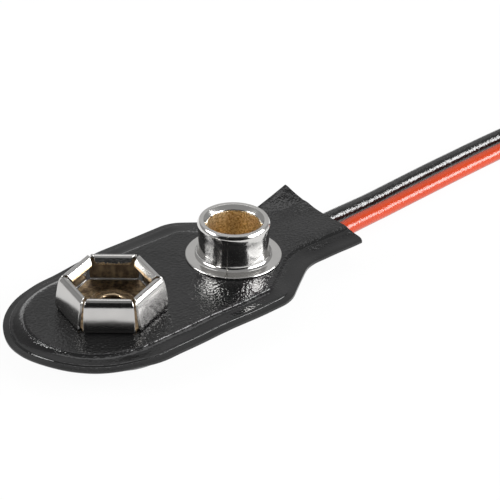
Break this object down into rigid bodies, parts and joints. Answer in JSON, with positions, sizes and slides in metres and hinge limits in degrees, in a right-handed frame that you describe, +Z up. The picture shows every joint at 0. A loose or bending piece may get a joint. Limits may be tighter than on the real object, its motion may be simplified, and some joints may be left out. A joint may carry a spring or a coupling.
{
  "type": "battery snap",
  "caption": "Flat welded vinyl snap connector for a 9 V block battery, with a hexagonal spring socket, a round hollow stud and a pair of insulated leads.",
  "frame": {"origin": "bottom centre of the pouch and terminals' box, on the surface that the tray's floor stands on, without the leads", "axes": "+X from the round end towards the tail where the leads come out, +Y towards the black lead's side, +Z up out of the face with the terminals"},
  "size_m": [0.0852, 0.0216, 0.006],
  "materials": {
    "vinyl": "satin soft vinyl with a fine grain",
    "fibre": "matt fibre board",
    "nickel": "bright nickel plate",
    "brass": "bright brass",
    "solder": "bright tin solder",
    "red_pvc": "satin insulation",
    "black_pvc": "satin insulation",
    "tie": "matt plastic strip"
  },
  "bodies": {
    "root": {"top_cover": "vinyl", "bottom_cover": "vinyl", "terminal_board": "fibre", "socket_terminal": "nickel", "stud_terminal": "nickel", "socket_eyelet": "brass", "stud_eyelet": "brass", "socket_solder": "solder", "stud_solder": "solder", "red_strands": "solder", "black_strands": "solder", "red_lead": "red_pvc", "black_lead": "black_pvc", "red_tinned_end": "solder", "black_tinned_end": "solder", "lead_coil": "black_pvc", "lead_tie": "tie"}
  },
  "joints": []
}
